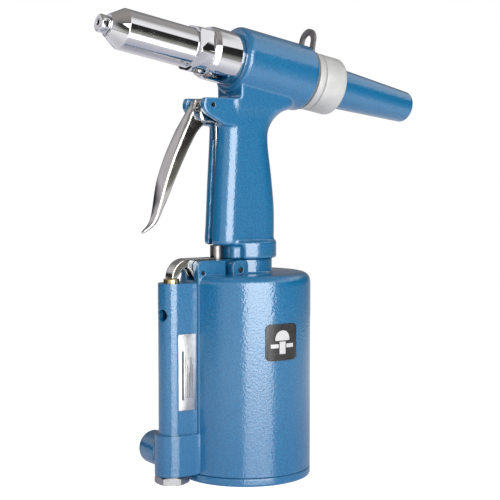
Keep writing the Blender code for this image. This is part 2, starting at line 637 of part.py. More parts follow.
# ---- plates on the outside ---------------------------------------------------
def badge():
    """Curved rounded square on the cylinder's left side."""
    inner, outer, half, corner, middle_z = CYL_R + GAP, CYL_R + 0.9, 11.9, 3.4, 94.0
    sections = []
    stations = [0.0, 0.25, 1.0, corner]
    across = [-half + s for s in stations] + [0.0] + [half - s for s in reversed(stations)]
    for offset in across:
        lost = max(0.0, corner - (half - abs(offset)))
        height = half - (corner - math.sqrt(corner * corner - lost * lost))
        angle = offset / CYL_R
        outline = [(inner, -height), (outer, -height), (outer, height), (inner, height)]
        sections.append([(r * math.sin(angle), -r * math.cos(angle), middle_z + h)
                         for r, h in outline])
    loft("badge", "black_badge", sections)


def rating_plate():
    left, right, low, high, corner = -57.3, -44.1, 49.0, 99.0, 1.0
    corners = [(right, high, 0), (left, high, 90), (left, low, 180), (right, low, 270)]
    outline = []
    for x, z, start in corners:
        cx = x - corner if x == right else x + corner
        cz = z - corner if z == high else z + corner
        outline += arc(cx, cz, corner, start, start + 90, 4)
    face = COLUMN_R + GAP
    plate("rating_plate", "foil_label", [outline], face, face + 0.4, turn=SIDE)


def build():
    clear_scene()
    global PARTS, TOOLS
    PARTS = new_collection("pneumatic_rivet_gun")
    TOOLS = new_collection("shaping_tools")
    barrel = barrel_frame()
    handle_casting(barrel)
    nose(barrel)
    jaws(barrel)
    pull_piston(barrel)
    rear_end(barrel)
    trigger_train()
    valve_lever()
    cylinder_casting()
    base_end()
    air_side()
    valve()
    badge()
    rating_plate()


build()
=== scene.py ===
"""Looks of the pneumatic rivet gun: fine-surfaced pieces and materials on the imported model.

The shapes below are in millimetres in the model's frame, and MM turns them into metres.
The barrel's pieces are turned about the barrel's axis, whose stations run rearward.
"""
import json
import math

import bmesh
import bpy
from mathutils import Matrix, Vector


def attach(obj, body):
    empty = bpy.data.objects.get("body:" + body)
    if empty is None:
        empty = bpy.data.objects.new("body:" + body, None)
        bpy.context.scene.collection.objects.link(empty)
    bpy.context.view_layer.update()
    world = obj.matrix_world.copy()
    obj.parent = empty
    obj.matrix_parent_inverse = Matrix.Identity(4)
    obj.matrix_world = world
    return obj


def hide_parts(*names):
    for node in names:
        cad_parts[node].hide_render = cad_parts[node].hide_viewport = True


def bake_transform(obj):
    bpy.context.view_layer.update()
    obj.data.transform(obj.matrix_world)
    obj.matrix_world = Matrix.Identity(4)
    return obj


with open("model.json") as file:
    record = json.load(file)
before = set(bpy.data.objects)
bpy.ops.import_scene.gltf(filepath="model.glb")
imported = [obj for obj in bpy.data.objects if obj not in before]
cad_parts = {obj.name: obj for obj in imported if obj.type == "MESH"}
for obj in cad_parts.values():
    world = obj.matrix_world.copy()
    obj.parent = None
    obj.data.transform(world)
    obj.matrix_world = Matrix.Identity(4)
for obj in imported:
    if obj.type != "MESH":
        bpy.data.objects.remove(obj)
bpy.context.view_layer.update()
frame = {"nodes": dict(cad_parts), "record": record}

MM = 0.001
BODY = "tool_body"
GAP = 0.3                                          # clearance between neighbouring pieces
SMOOTH_ANGLE = 35.0                                # edges sharper than this stay crisp, degrees
BEVEL_SEGMENTS = 3

# ---- dimensions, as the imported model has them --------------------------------
CYL_R = 44.0
CYL_BORE_R = 40.5
CYL_TOP = 137.0
CYL_ROOF = 129.0
CAP_TOP = 5.5
NECK_R = 18.0
NECK_TOP = 146.3
NECK_BORE_R = 14.3
HEAD_R = 22.5
HEAD_FRONT = -10.8
HEAD_REAR = 45.9
OIL_BORE_R = 16.8
GRIP_BOTTOM = 156.0
GRIP_HALF = 14.0
PIVOT = (-33.5, 247.5)
WEB_FACE = -12.5
SLOT_BACK = -14.6
HEX_FLATS = 29.2
HEX_TURN = 47.0
HEX_GLINT_TURN = 8.0                               # drawn this much less, so its near face is lit
ROD_X = -22.7
LEVER_PIVOT = (-39.6, 138.3)
NECK_PIN = (-13.8, 139.5)
VALVE_X = -57.2
COLUMN_R = 8.74
COLUMN_TOP = 132.0
BLOCK_R = 11.4
BLOCK_TOP = 33.0
INLET_Z = 20.0
EXHAUST_Z = 111.5
EXHAUST_TURN = 16.0                                # degrees round the column from its front
PIN_HOLE_R = 1.65
BARREL = Matrix.Translation((0, 0, 276.1)) @ Matrix.Rotation(math.pi / 2 + math.radians(10.93), 4, "Y")
UPRIGHT = Matrix.Identity(4)
SIDE = Matrix.Rotation(math.pi / 2, 4, "X")        # local XY becomes X and Z, local Z becomes -Y
ALONG_X = Matrix.Rotation(math.pi / 2, 4, "Y")     # local Z becomes +X
ALONG_Y = Matrix.Rotation(-math.pi / 2, 4, "X")    # local Z becomes +Y


def at(x, y, z, turn=UPRIGHT):
    return Matrix.Translation((x, y, z)) @ turn


# ---- outlines ----------------------------------------------------------------
def arc(cx, cy, radius, start, end, count):
    points = []
    for i in range(count):
        angle = math.radians(start + (end - start) * i / (count - 1))
        points.append((cx + radius * math.cos(angle), cy + radius * math.sin(angle)))
    return points


def circle(radius, count=96, cx=0.0, cy=0.0):
    return arc(cx, cy, radius, 0, 360, count + 1)[:-1]


def polygon(sides, across_flats, turn=0.0):
    radius = across_flats / 2 / math.cos(math.pi / sides)
    return arc(0, 0, radius, turn, turn + 360, sides + 1)[:-1]


def rounded(points, radius, steps=4, closed=True):
    """Round an outline's corners. A third number on a point is that corner's own radius."""
    result = []
    count = len(points)
    for i, point in enumerate(points):
        own = point[2] if len(point) > 2 else radius
        here = Vector(point[:2])
        if own <= 0 or (not closed and i in (0, count - 1)):
            result.append(tuple(here))
            continue
        before = Vector(points[i - 1][:2]) - here
        after = Vector(points[(i + 1) % count][:2]) - here
        half_angle = before.angle(after, math.pi) / 2
        if half_angle > math.radians(88):
            result.append(tuple(here))
            continue
        reach = min(own / math.tan(half_angle), before.length * 0.49, after.length * 0.49)
        start = here + before.normalized() * reach
        end = here + after.normalized() * reach
        for k in range(steps + 1):
            t = k / steps
            curve = start * (1 - t) ** 2 + here * 2 * t * (1 - t) + end * t ** 2
            result.append(tuple(curve))
    return result


# ---- solids ------------------------------------------------------------------
def finished(name, bm, frame_matrix, smooth_angle=SMOOTH_ANGLE):
    """Mesh object from a bmesh in millimetres, set in the model's frame."""
    bmesh.ops.recalc_face_normals(bm, faces=bm.faces)
    bmesh.ops.transform(bm, matrix=Matrix.Scale(MM, 4) @ frame_matrix, verts=bm.verts)
    mesh = bpy.data.meshes.new(name)
    bm.to_mesh(mesh)
    bm.free()
    mesh.shade_smooth()
    mesh.set_sharp_from_angle(angle=math.radians(smooth_angle))
    obj = bpy.data.objects.new(name, mesh)
    bpy.context.scene.collection.objects.link(obj)
    return obj


def turned(name, profile, frame_matrix=UPRIGHT, hollow=True, steps=128, **shading):
    """Turn an (r, z) outline about local Z. Where it isn't hollow, both ends lie on the axis."""
    bm = bmesh.new()
    rings = []
    for r, z in profile:
        if r < 1e-6:
            rings.append([bm.verts.new((0, 0, z))])
            continue
        angles = [2 * math.pi * i / steps for i in range(steps)]
        rings.append([bm.verts.new((r * math.cos(a), r * math.sin(a), z)) for a in angles])
    pairs = list(zip(rings, rings[1:])) + ([(rings[-1], rings[0])] if hollow else [])
    for low, high in pairs:
        for i in range(steps):
            j = (i + 1) % steps
            corners = [low[i % len(low)], low[j % len(low)], high[j % len(high)], high[i % len(high)]]
            face = list(dict.fromkeys(corners))
            if len(face) > 2:
                bm.faces.new(face)
    return finished(name, bm, frame_matrix, **shading)


def disc(name, radius, low, high, frame_matrix=UPRIGHT, edge=0.0, steps=96):
    profile = rounded([(0, high), (radius, high, edge), (radius, low, edge), (0, low)], 0, closed=False)
    return turned(name, profile, frame_matrix, hollow=False, steps=steps)


def plate(name, outline, low, high, frame_matrix=UPRIGHT, bevel=0.0):
    """Flat outline in local XY, solid from low to high, with rounded edges."""
    bm = bmesh.new()
    base = [bm.verts.new((x, y, low)) for x, y in outline]
    top = [bm.verts.new((x, y, high)) for x, y in outline]
    rim = []
    for i in range(len(outline)):
        j = (i + 1) % len(outline)
        bm.faces.new((base[i], base[j], top[j], top[i]))
        rim += [(base[i], base[j]), (top[i], top[j])]
    bm.faces.new(base[::-1])
    bm.faces.new(top)
    if bevel:
        edges = [bm.edges.get(pair) for pair in rim]
        bmesh.ops.bevel(bm, geom=edges, offset=bevel, segments=BEVEL_SEGMENTS, profile=0.5,
                        affect="EDGES", clamp_overlap=True)
    return finished(name, bm, frame_matrix)


def loft(name, sections, frame_matrix=UPRIGHT, **shading):
    bm = bmesh.new()
    rings = [[bm.verts.new(p) for p in section] for section in sections]
    count = len(rings[0])
    for low, high in zip(rings, rings[1:]):
        for i in range(count):
            j = (i + 1) % count
            bm.faces.new((low[i], low[j], high[j], high[i]))
    bm.faces.new(rings[0])
    bm.faces.new(rings[-1])
    return finished(name, bm, frame_matrix, **shading)


def block(name, low, high, frame_matrix=UPRIGHT, bevel=0.0):
    outline = [(low[0], low[1]), (high[0], low[1]), (high[0], high[1]), (low[0], high[1])]
    return plate(name, outline, low[2], high[2], frame_matrix, bevel)


def smooth_rows(rows, steps):
    """Catmull-Rom rows between the given ones, so a loft runs as one smooth curve."""
    result = []
    for i in range(len(rows) - 1):
        p0 = rows[max(i - 1, 0)]
        p1, p2 = rows[i], rows[i + 1]
        p3 = rows[min(i + 2, len(rows) - 1)]
        for k in range(steps):
            t = k / steps
            row = []
            for a, b, c, d in zip(p0, p1, p2, p3):
                row.append(0.5 * (2 * b + (c - a) * t + (2 * a - 5 * b + 4 * c - d) * t ** 2
                                  + (3 * b - a - 3 * c + d) * t ** 3))
            result.append(row)
    result.append(list(rows[-1]))
    return result


def bake(obj):
    """Apply the object's modifiers to its mesh."""
    bpy.context.view_layer.update()
    graph = bpy.context.evaluated_depsgraph_get()
    mesh = bpy.data.meshes.new_from_object(obj.evaluated_get(graph))
    obj.modifiers.clear()
    obj.data = mesh


def combine(target, tools, operation):
    for tool in tools:
        modifier = target.modifiers.new(tool.name, "BOOLEAN")
        modifier.operation = operation
        modifier.solver = "EXACT"
        modifier.object = tool
    bake(target)
    for tool in tools:
        bpy.data.objects.remove(tool, do_unlink=True)
    target.data.shade_smooth()
    target.data.set_sharp_from_angle(angle=math.radians(SMOOTH_ANGLE))


def join(target, *tools):
    combine(target, tools, "UNION")


def cut(target, *tools):
    combine(target, tools, "DIFFERENCE")


def cast_surface(obj, voxel, rounds):
    """Melt a joined solid into one skin whose edges and corners are soft, as cast metal has."""
    remesh = obj.modifiers.new("Skin", "REMESH")
    remesh.mode = "VOXEL"
    remesh.voxel_size = voxel * MM
    remesh.use_smooth_shade = True
    soften = obj.modifiers.new("Soften", "SMOOTH")
    soften.factor = 0.5
    soften.iterations = rounds
    bake(obj)


# ---- materials ---------------------------------------------------------------
class Nodes:
    """Short way to write a material's nodes."""

    def __init__(self, name):
        self.material = bpy.data.materials.new(name)
        self.material.use_nodes = True
        self.tree = self.material.node_tree
        self.shader = self.tree.nodes["Principled BSDF"]
        self.place = self.add("ShaderNodeTexCoord").outputs["Object"]

    def add(self, kind, **settings):
        node = self.tree.nodes.new(kind)
        for key, value in settings.items():
            setattr(node, key, value)
        return node

    def link(self, output, socket):
        self.tree.links.new(output, socket)

    def put(self, **values):
        for key, value in values.items():
            self.shader.inputs[key.replace("_", " ")].default_value = value

    def noise(self, scale, detail):
        node = self.add("ShaderNodeTexNoise")
        node.inputs["Scale"].default_value = scale
        node.inputs["Detail"].default_value = detail
        self.link(self.place, node.inputs["Vector"])
        return node.outputs["Fac"]

    def cells(self, scale):
        node = self.add("ShaderNodeTexVoronoi", feature="SMOOTH_F1")
        node.inputs["Scale"].default_value = scale
        node.inputs["Smoothness"].default_value = 1.0
        self.link(self.place, node.inputs["Vector"])
        return node.outputs["Distance"]

    def ramp(self, value, stops):
        node = self.add("ShaderNodeValToRGB")
        ramp = node.color_ramp
        while len(ramp.elements) < len(stops):
            ramp.elements.new(0.5)
        for element, (position, colour) in zip(ramp.elements, stops):
            element.position = position
            element.color = (*colour, 1.0)
        self.link(value, node.inputs["Fac"])
        return node.outputs["Color"]

    def span(self, value, low, high, out_low, out_high):
        node = self.add("ShaderNodeMapRange")
        for key, number in (("From Min", low), ("From Max", high), ("To Min", out_low),
                            ("To Max", out_high)):
            node.inputs[key].default_value = number
        self.link(value, node.inputs["Value"])
        return node.outputs["Result"]

    def blend(self, factor, first, second):
        node = self.add("ShaderNodeMix", data_type="RGBA")
        self.link(factor, node.inputs["Factor"])
        for socket, value in ((node.inputs["A"], first), (node.inputs["B"], second)):
            if isinstance(value, tuple):
                socket.default_value = (*value, 1.0)
            else:
                self.link(value, socket)
        return node.outputs["Result"]

    def bump(self, height, distance, strength, normal):
        node = self.add("ShaderNodeBump")
        node.inputs["Distance"].default_value = distance * MM
        node.inputs["Strength"].default_value = strength
        self.link(height, node.inputs["Height"])
        self.link(normal, node.inputs["Normal"])
        return node.outputs["Normal"]

    def soft_edges(self, radius):
        node = self.add("ShaderNodeBevel", samples=6)
        node.inputs["Radius"].default_value = radius * MM
        return node.outputs["Normal"]

    def surface(self, colour, roughness, normal):
        for name, socket in (("Base Color", colour), ("Roughness", roughness), ("Normal", normal)):
            self.link(socket, self.shader.inputs[name])
        return self.material


def blue_enamel():
    n = Nodes("blue_enamel")
    n.put(Metallic=0.0, Coat_Weight=1.0, Coat_Roughness=0.15, Coat_IOR=1.80, IOR=1.4)
    tone = n.noise(1150, 2.0)
    broad = n.noise(60, 2.0)
    fleck = n.ramp(tone, [(0.30, (0.002, 0.136, 0.305)), (0.50, (0.003, 0.172, 0.392)),
                          (0.70, (0.008, 0.232, 0.495))])
    colour = n.blend(n.span(broad, 0.3, 0.7, 0.0, 0.25), fleck, (0.003, 0.170, 0.380))
    rough = n.span(n.noise(900, 2.0), 0.3, 0.7, 0.30, 0.42)
    edges = n.soft_edges(0.9)
    orange_peel = n.bump(n.cells(780), 0.20, 0.5, edges)
    grain = n.bump(n.noise(1500, 2.0), 0.06, 0.5, orange_peel)
    n.link(grain, n.shader.inputs["Coat Normal"])
    return n.surface(colour, rough, grain)


def chrome():
    n = Nodes("chrome")
    n.put(Metallic=1.0)
    haze = n.noise(45, 4.0)
    colour = n.ramp(haze, [(0.3, (0.76, 0.76, 0.79)), (0.7, (0.84, 0.84, 0.86))])
    rough = n.span(n.noise(120, 5.0), 0.35, 0.75, 0.035, 0.085)
    normal = n.bump(n.noise(14, 1.0), 0.12, 0.25, n.soft_edges(0.25))
    return n.surface(colour, rough, normal)


def satin_aluminium():
    n = Nodes("satin_aluminium")
    n.put(Metallic=0.45)
    grain = n.noise(2600, 2.0)
    broad = n.noise(90, 3.0)
    colour = n.blend(n.span(broad, 0.3, 0.7, 0, 1), (0.60, 0.60, 0.595), (0.70, 0.70, 0.69))
    rough = n.span(grain, 0.3, 0.7, 0.50, 0.66)
    normal = n.bump(n.noise(1500, 2.0), 0.10, 0.7, n.soft_edges(0.3))
    return n.surface(colour, rough, normal)


def polished_steel(name, edge):
    n = Nodes(name)
    n.put(Metallic=1.0)
    broad = n.noise(55, 4.0)
    colour = n.ramp(broad, [(0.3, (0.60, 0.58, 0.55)), (0.7, (0.72, 0.70, 0.67))])
    rough = n.span(n.noise(160, 4.0), 0.3, 0.75, 0.08, 0.15)
    waves = n.bump(n.noise(60, 2.0), 0.18, 0.2, n.soft_edges(edge))
    return n.surface(colour, rough, waves)


def plain_metal(name, dark, light, rough_low, rough_high, grain_scale=900, depth=0.04, metallic=1.0):
    n = Nodes(name)
    n.put(Metallic=metallic)
    colour = n.blend(n.span(n.noise(140, 4.0), 0.3, 0.7, 0, 1), dark, light)
    rough = n.span(n.noise(300, 4.0), 0.3, 0.7, rough_low, rough_high)
    return n.surface(colour, rough, n.bump(n.noise(grain_scale, 3.0), depth, 0.6, n.soft_edges(0.2)))


MATERIALS = {
    "blue_enamel": blue_enamel(),
    "chrome": chrome(),
    "satin_aluminium": satin_aluminium(),
    "polished_steel": polished_steel("polished_steel", 0.6),
    "grey_steel": plain_metal("grey_steel", (0.20, 0.19, 0.19), (0.34, 0.33, 0.33), 0.42, 0.58),
    "dark_steel": plain_metal("dark_steel", (0.035, 0.035, 0.040), (0.08, 0.08, 0.09), 0.35, 0.55),
    "brass": plain_metal("brass", (0.62, 0.47, 0.20), (0.80, 0.66, 0.36), 0.14, 0.28, 500, 0.02),
    "rubber": plain_metal("rubber", (0.012, 0.012, 0.012), (0.03, 0.03, 0.03), 0.55, 0.8, 700, 0.05, 0.0),
    "black_badge": plain_metal("black_badge", (0.030, 0.029, 0.030), (0.045, 0.043, 0.044), 0.22, 0.34,
                               1200, 0.02, 0.0),
    "foil_label": plain_metal("foil_label", (0.50, 0.50, 0.52), (0.64, 0.64, 0.66), 0.28, 0.40, 1600, 0.01),
}
# The rod foot's steel is a darker copy of polished steel. It has a dull finish, and is darker still as
# painted shade that holds down the softbox light on the foot.
DULL_SHADED_STEEL = plain_metal("dull_shaded_steel", (0.20, 0.19, 0.185), (0.30, 0.29, 0.28), 0.26, 0.38)
# The valve plug's steel is a darker copy of polished steel: painted shade that holds down the softbox light
# on its faces.
SHADED_PLUG_STEEL = plain_metal("shaded_plug_steel", (0.34, 0.34, 0.34), (0.44, 0.44, 0.43), 0.26, 0.40)
SLOT_OF = {row["node"]: row["material_slot"] for row in frame["record"]["subparts"]}
for node_name, node_object in frame["nodes"].items():
    node_object.data.materials.clear()
    node_object.data.materials.append(MATERIALS[SLOT_OF[node_name]])


def settle(obj, nodes, body=BODY, slot=None, material=None):
    """Give a new piece its finish and body, and let it stand for the CAD nodes it details."""
    slot = slot or SLOT_OF[nodes[0]]
    obj.data.materials.clear()
    obj.data.materials.append(material or MATERIALS[slot])
    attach(obj, body)
    if nodes:
        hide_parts(*nodes)


# ---- handle and head casting -------------------------------------------------
GRIP_ROWS = [                   # height, front X, rear X, half width
    (GRIP_BOTTOM - 0.5, -26.6, 17.9, 12.8),
    (GRIP_BOTTOM + 1.6, -28.0, 19.2, GRIP_HALF),
    (168.0, -27.4, 19.6, GRIP_HALF),
    (180.0, -26.8, 19.4, GRIP_HALF),
    (192.0, -26.2, 18.3, GRIP_HALF),
    (204.0, -25.5, 16.9, GRIP_HALF),
    (214.0, -24.9, 15.4, GRIP_HALF),
    (224.0, -24.3, 14.3, GRIP_HALF),
    (231.0, -24.0, 14.7, GRIP_HALF),
    (236.0, -23.8, 17.0, GRIP_HALF),
    (240.0, -23.8, 20.2, GRIP_HALF),
    (244.0, -23.8, 25.6, GRIP_HALF + 0.3),
    (248.0, -23.8, 34.0, GRIP_HALF + 0.7),
    (262.0, -23.8, 38.0, GRIP_HALF + 1.2),
]


def grip_section(z, front, rear, half):
    front_round, rear_round = min(10.5, half - 0.5), min(12.0, half - 0.5)
    corners = [
        (rear - rear_round, half - rear_round, rear_round, 0),
        (front + front_round, half - front_round, front_round, 90),
        (front + front_round, front_round - half, front_round, 180),
        (rear - rear_round, rear_round - half, rear_round, 270),
    ]
    points = []
    for cx, cy, radius, start in corners:
        points += [(x, y, z) for x, y in arc(cx, cy, radius, start, start + 90, 12)]
    return points


def handle_shell():
    x, z = PIVOT
    shell = loft("handle_shell", [grip_section(*row) for row in smooth_rows(GRIP_ROWS, 4)])
    ear_outline = arc(x, z, 7.2, 80, 238, 24) + [(-24.0, 234.2), (-9.0, 234.0), (-9.0, 251.4)]
    ears = plate("ears", ear_outline, -GRIP_HALF, GRIP_HALF, SIDE)
    fillet = arc(WEB_FACE - 3.0, 254.2, 3.0, -90, 0, 10) + [(WEB_FACE + 1.5, 254.2), (WEB_FACE + 1.5, 250.5)]
    fillet += [(WEB_FACE - 3.0, 250.5)]
    above_ears = block("above_ears", (-60, -22, 252.2), (WEB_FACE, 22, 270))
    relief = block("relief", (-30, -2.1, 253.6), (WEB_FACE + 2.2, 2.1, 264))
    join(shell, ears)
    cut(shell, above_ears)
    join(shell, plate("fillet", fillet, -13.6, 13.6, SIDE))
    cut(shell, relief)
    head = turned("head", rounded([(0, HEAD_REAR), (HEAD_R, HEAD_REAR, 1.2), (HEAD_R, HEAD_FRONT, 3.0),
                                   (0, HEAD_FRONT)], 0, 8, False), BARREL, hollow=False, steps=160)
    flange = disc("flange", 21.0, NECK_TOP + GAP, GRIP_BOTTOM + 2, edge=0.8, steps=128)
    spigot = disc("spigot", 14.0, CYL_ROOF + GAP, NECK_TOP + 2)
    join(shell, head, flange, spigot)
    slot = block("ear_slot", (-60, -9.0, 235.6), (SLOT_BACK, 9.0, 254.6))
    groove = block("groove", (-40, -1.95, 150), (-20.8, 1.95, 237))
    front_flat = block("flange_front", (-30, -30, NECK_TOP - 1), (-12, 30, GRIP_BOTTOM - GAP))
    cut(shell, slot, groove, front_flat)
    apron = rounded([(-9.0, 12.8, 0), (-18.0, 12.8), (-18.0, -12.8), (-9.0, -12.8, 0)], 5.0, 10)
    join(shell, plate("apron", apron, NECK_TOP + GAP, GRIP_BOTTOM + 0.8))
    cast_surface(shell, 0.72, 9)
    barrel_bore = turned("barrel_bore", [
        (0, HEAD_REAR + 2), (OIL_BORE_R, HEAD_REAR + 2), (OIL_BORE_R, 3.0), (11.5, 3.0),
        (11.5, -2.6), (15.8, -2.6), (15.8, HEAD_FRONT + 0.6), (18.1, HEAD_FRONT - 1.2),
        (18.1, HEAD_FRONT - 20), (0, HEAD_FRONT - 20)], BARREL, hollow=False, steps=96)
    ram_bore = turned("ram_bore", [
        (0, 236.0), (8.0, 236.0), (8.0, 136.0), (10.8, 136.0), (10.8, 120), (0, 120)],
        hollow=False, steps=48)
    pocket = block("groove_pocket", (-32, -3.6, 225.2), (-20.5, 3.6, 237))
    foot_pocket = disc("foot_pocket", 4.7, 140, 159.8, at(ROD_X, 0, 0), steps=48)
    pin_hole = disc("pin_hole", PIN_HOLE_R, -20, 20, at(x, 0, z, ALONG_Y), steps=32)
    cut(shell, barrel_bore, ram_bore, pocket, foot_pocket, pin_hole)
    settle(shell, ["handle_casting"])


# ---- air cylinder ------------------------------------------------------------
def stadium(radius, back):
    front = arc(VALVE_X, 0, radius, 90, 270, 49)
    return [(back, radius)] + front + [(back, -radius)]


def cylinder_shell():
    bottom = CAP_TOP + GAP
    outline = rounded([
        (NECK_R, NECK_TOP, 0.7), (NECK_R, CYL_TOP, 2.0), (CYL_R, CYL_TOP, 7.5),
        (CYL_R, bottom, 0.6), (CYL_BORE_R, bottom), (CYL_BORE_R, CYL_ROOF), (9.0, CYL_ROOF),
        (9.0, NECK_TOP)], 0, steps=8)
    shell = turned("cylinder_shell", outline, steps=224)
    wall = 2.6 - CYL_R
    column = plate("column", stadium(COLUMN_R, wall), 25.0, COLUMN_TOP, bevel=0.7)
    lower = plate("lower_block", stadium(BLOCK_R, wall + 0.5), bottom + 0.2, BLOCK_TOP, bevel=1.1)
    web = plate("web", rounded([(-43.2, -11.1), (wall, -11.1, 0), (wall, 11.1, 0), (-43.2, 11.1)], 1.0, 5),
                BLOCK_TOP - 5, CYL_TOP - 4)
    boss = disc("inlet_boss", 11.2, 6.0, 25.5, at(VALVE_X, 0, INLET_Z, ALONG_Y), edge=1.6)
    join(shell, column, lower, web, boss)
    cheek_outline = [(-43.5, 131), (-22.1, 131), (-22.1, 146.2)] + arc(-40.5, 143.2, 3.0, 90, 180, 12)
    lug_outline = [(-20, 132), (-8, 132)] + arc(-11, 142.9, 3.0, 0, 90, 10) + arc(
        -16, 141.9, 4.0, 90, 180, 12)
    for sign in (1, -1):
        cheek = plate("cheek", cheek_outline, *sorted((sign * 5.0, sign * 11.1)), SIDE, bevel=0.7)
        lug = plate("lug", lug_outline, *sorted((sign * 10.0, sign * 16.2)), SIDE, bevel=0.7)
        join(shell, cheek, lug)
    lever_x, lever_z = LEVER_PIVOT
    pin_x, pin_z = NECK_PIN
    neck_bore = disc("neck_bore", NECK_BORE_R, CYL_ROOF - 1, NECK_TOP + 1)
    channel = block("channel", (-49, -5.1, 133.2), (-19.5, 5.1, 150))
    lever_hole = disc("lever_hole", 1.5, -15, 15, at(lever_x, 0, lever_z, ALONG_Y), steps=32)
    neck_hole = disc("neck_hole", 1.9, -20, 20, at(pin_x, 0, pin_z, ALONG_Y), steps=32)
    valve_bore = turned("valve_bore", [
        (0, COLUMN_TOP + 2), (6.1, COLUMN_TOP + 2), (6.1, COLUMN_TOP), (5.5, COLUMN_TOP - 0.6),
        (5.5, 12.0), (9.0, 12.0), (9.0, 3.8), (0, 3.8)], at(VALVE_X, 0, 0), hollow=False, steps=64)
    port = turned("inlet_port", [
        (0, 30), (7.2, 30), (7.2, 25.6), (6.4, 24.6), (6.4, 12.5), (3.5, 11.0), (3.5, 0), (0, 0)],
        at(VALVE_X, 0, INLET_Z, ALONG_Y), hollow=False, steps=64)
    exhaust = turned("exhaust", [
        (0, 4), (4.6, 4), (4.6, 0.5), (3.8, -0.6), (3.8, -8), (0, -8)],
        at(VALVE_X, 0, EXHAUST_Z, Matrix.Rotation(math.radians(EXHAUST_TURN), 4, "Z")
           @ Matrix.Translation((-COLUMN_R, 0, 0)) @ ALONG_X @ Matrix.Rotation(math.pi, 4, "X")),
        hollow=False, steps=48)
    cut(shell, neck_bore, channel, lever_hole, neck_hole, valve_bore, port, exhaust)
    settle(shell, ["cylinder_casting"])


def base_cap_shell():
    outline = rounded([
        (0, 3.2), (35.5, 3.2, 0.5), (35.5, 11.0, 0.4), (40.2, 11.0, 0.3), (40.2, 9.8), (38.2, 9.8),
        (38.2, 7.2), (40.2, 7.2), (40.2, CAP_TOP), (CYL_R, CAP_TOP, 0.6), (CYL_R, 0, 1.8), (0, 0)],
        0, steps=6, closed=False)
    settle(turned("base_cap_shell", outline, hollow=False, steps=224), ["base_cap"])


# ---- nose and rear end -------------------------------------------------------
def nose():
    tube = turned("nose_tube", rounded([
        (15.5, -2.9), (15.5, HEAD_FRONT), (17.5, HEAD_FRONT - GAP, 0.3), (17.5, -29.4, 0.2),
        (16.5, -32.6, 0.2), (16.4, -43.2, 0.7), (15.4, -44.2, 0.3), (13.25, -44.4, 0.3),
        (13.25, -94.6, 0.5), (7.2, -104.3, 0.4), (4.8, -104.3), (4.8, -97.2), (10.4, -96.0),
        (10.4, -2.9)], 0), BARREL, steps=192, smooth_angle=25)
    groove = turned("hex_groove", [(15.9, -32.7), (18, -32.7), (18, -33.5), (15.9, -33.5)], BARREL)
    hex_wall = plate("hex_flats", circle(24, 96), -46.0, -33.4, BARREL)
    hexagon = polygon(6, HEX_FLATS, HEX_TURN - HEX_GLINT_TURN)
    keep = plate("hex_core", rounded(hexagon, 0.3, 3), -60, -30, BARREL)
    cut(hex_wall, keep)
    cut(tube, hex_wall, groove)
    settle(tube, ["frame_head"])
    tip = turned("nose_tip", rounded([
        (4.4, -96.3), (4.4, -104.7), (5.8, -104.7, 0.2), (5.8, -109.9, 0.5), (5.0, -110.7, 0.3),
        (1.8, -110.7, 0.3), (1.8, -97.5), (2.6, -96.3)], 0), BARREL, steps=96)
    tip_wall = plate("tip_flats", circle(9, 64), -107.7, -103.0, BARREL)
    cut(tip_wall, plate("tip_core", rounded(polygon(6, 10.4), 0.3, 3), -120, -90, BARREL))
    dimple_place = BARREL @ Matrix.Translation((0, 0, -106.0)) @ ALONG_Y
    dimple = disc("dimple", 1.9, -6.5, -4.85, dimple_place, steps=48)
    cut(tip, tip_wall, dimple)
    settle(tip, ["nosepiece"])


def knurled(name, profile, teeth, depth, low, high):
    """Turned ring whose outer wall between two stations carries fine straight ridges."""
    ring = turned(name, profile, BARREL, steps=teeth * 4)
    inverse = BARREL.inverted()
    for vertex in ring.data.vertices:
        local = inverse @ (vertex.co / MM)
        radius = math.hypot(local.x, local.y)
        if low < local.z < high and radius > 19:
            ripple = 0.5 - 0.5 * math.cos(teeth * math.atan2(local.y, local.x))
            keep = 1 - depth * ripple / radius
            vertex.co = BARREL @ Vector((local.x * keep, local.y * keep, local.z)) * MM
    return ring


def rear_end():
    settle(knurled("lock_ring_shell", rounded([
        (15.1, 60.0), (15.1, 53.9), (18.6, 53.9), (20.0, 53.3, 0.2), (20.0, 48.2, 0.35), (16.4, 48.2),
        (16.4, 36.5), (13.5, 36.5), (13.5, 60.0)], 0), 150, 0.18, 48.8, 53.0), ["lock_ring"])
    settle(knurled("end_cap_shell", rounded([
        (19.8, 71.6, 1.1), (19.8, 55.0, 0.3), (18.6, 54.3), (15.4, 54.2), (15.4, 65.5), (9.3, 65.5),
        (9.3, 71.6, 0.4)], 0), 150, 0.18, 55.4, 69.6), ["end_cap"])
    end = 139.5
    collector = turned("collector_shell", rounded([
        (0, end), (10.9, end, 2.8), (14.2, 72.6, 0.5), (13.4, 71.9), (9.0, 71.9), (9.0, 66.0),
        (7.0, 66.0), (7.0, 74.0), (12.0, 76.0), (8.8, end - 2.6), (0, end - 2.6)], 0, 8, False),
        BARREL, hollow=False, steps=160)
    settle(collector, ["mandrel_collector"], "collector")
    eye_height, eye_r, washer_r = 25.9, 9.0, 21.0
    side = math.degrees(math.asin(eye_r / washer_r))
    outline = arc(0, 0, washer_r, -180 + side, 180 - side, 90) + arc(-eye_height, 0, eye_r, 90, 270, 40)
    hanger = plate("hanger_shell", outline, HEAD_REAR + GAP, 47.9, BARREL, bevel=0.3)
    eye = arc(-eye_height, 0, 4.6, 90, 270, 28) + [(-22.2, -4.6), (-22.2, 4.6)]
    cut(hanger, plate("eye", eye, 40, 52, BARREL), plate("washer_bore", circle(16.8), 40, 52, BARREL))
    settle(hanger, ["hanger_plate"])


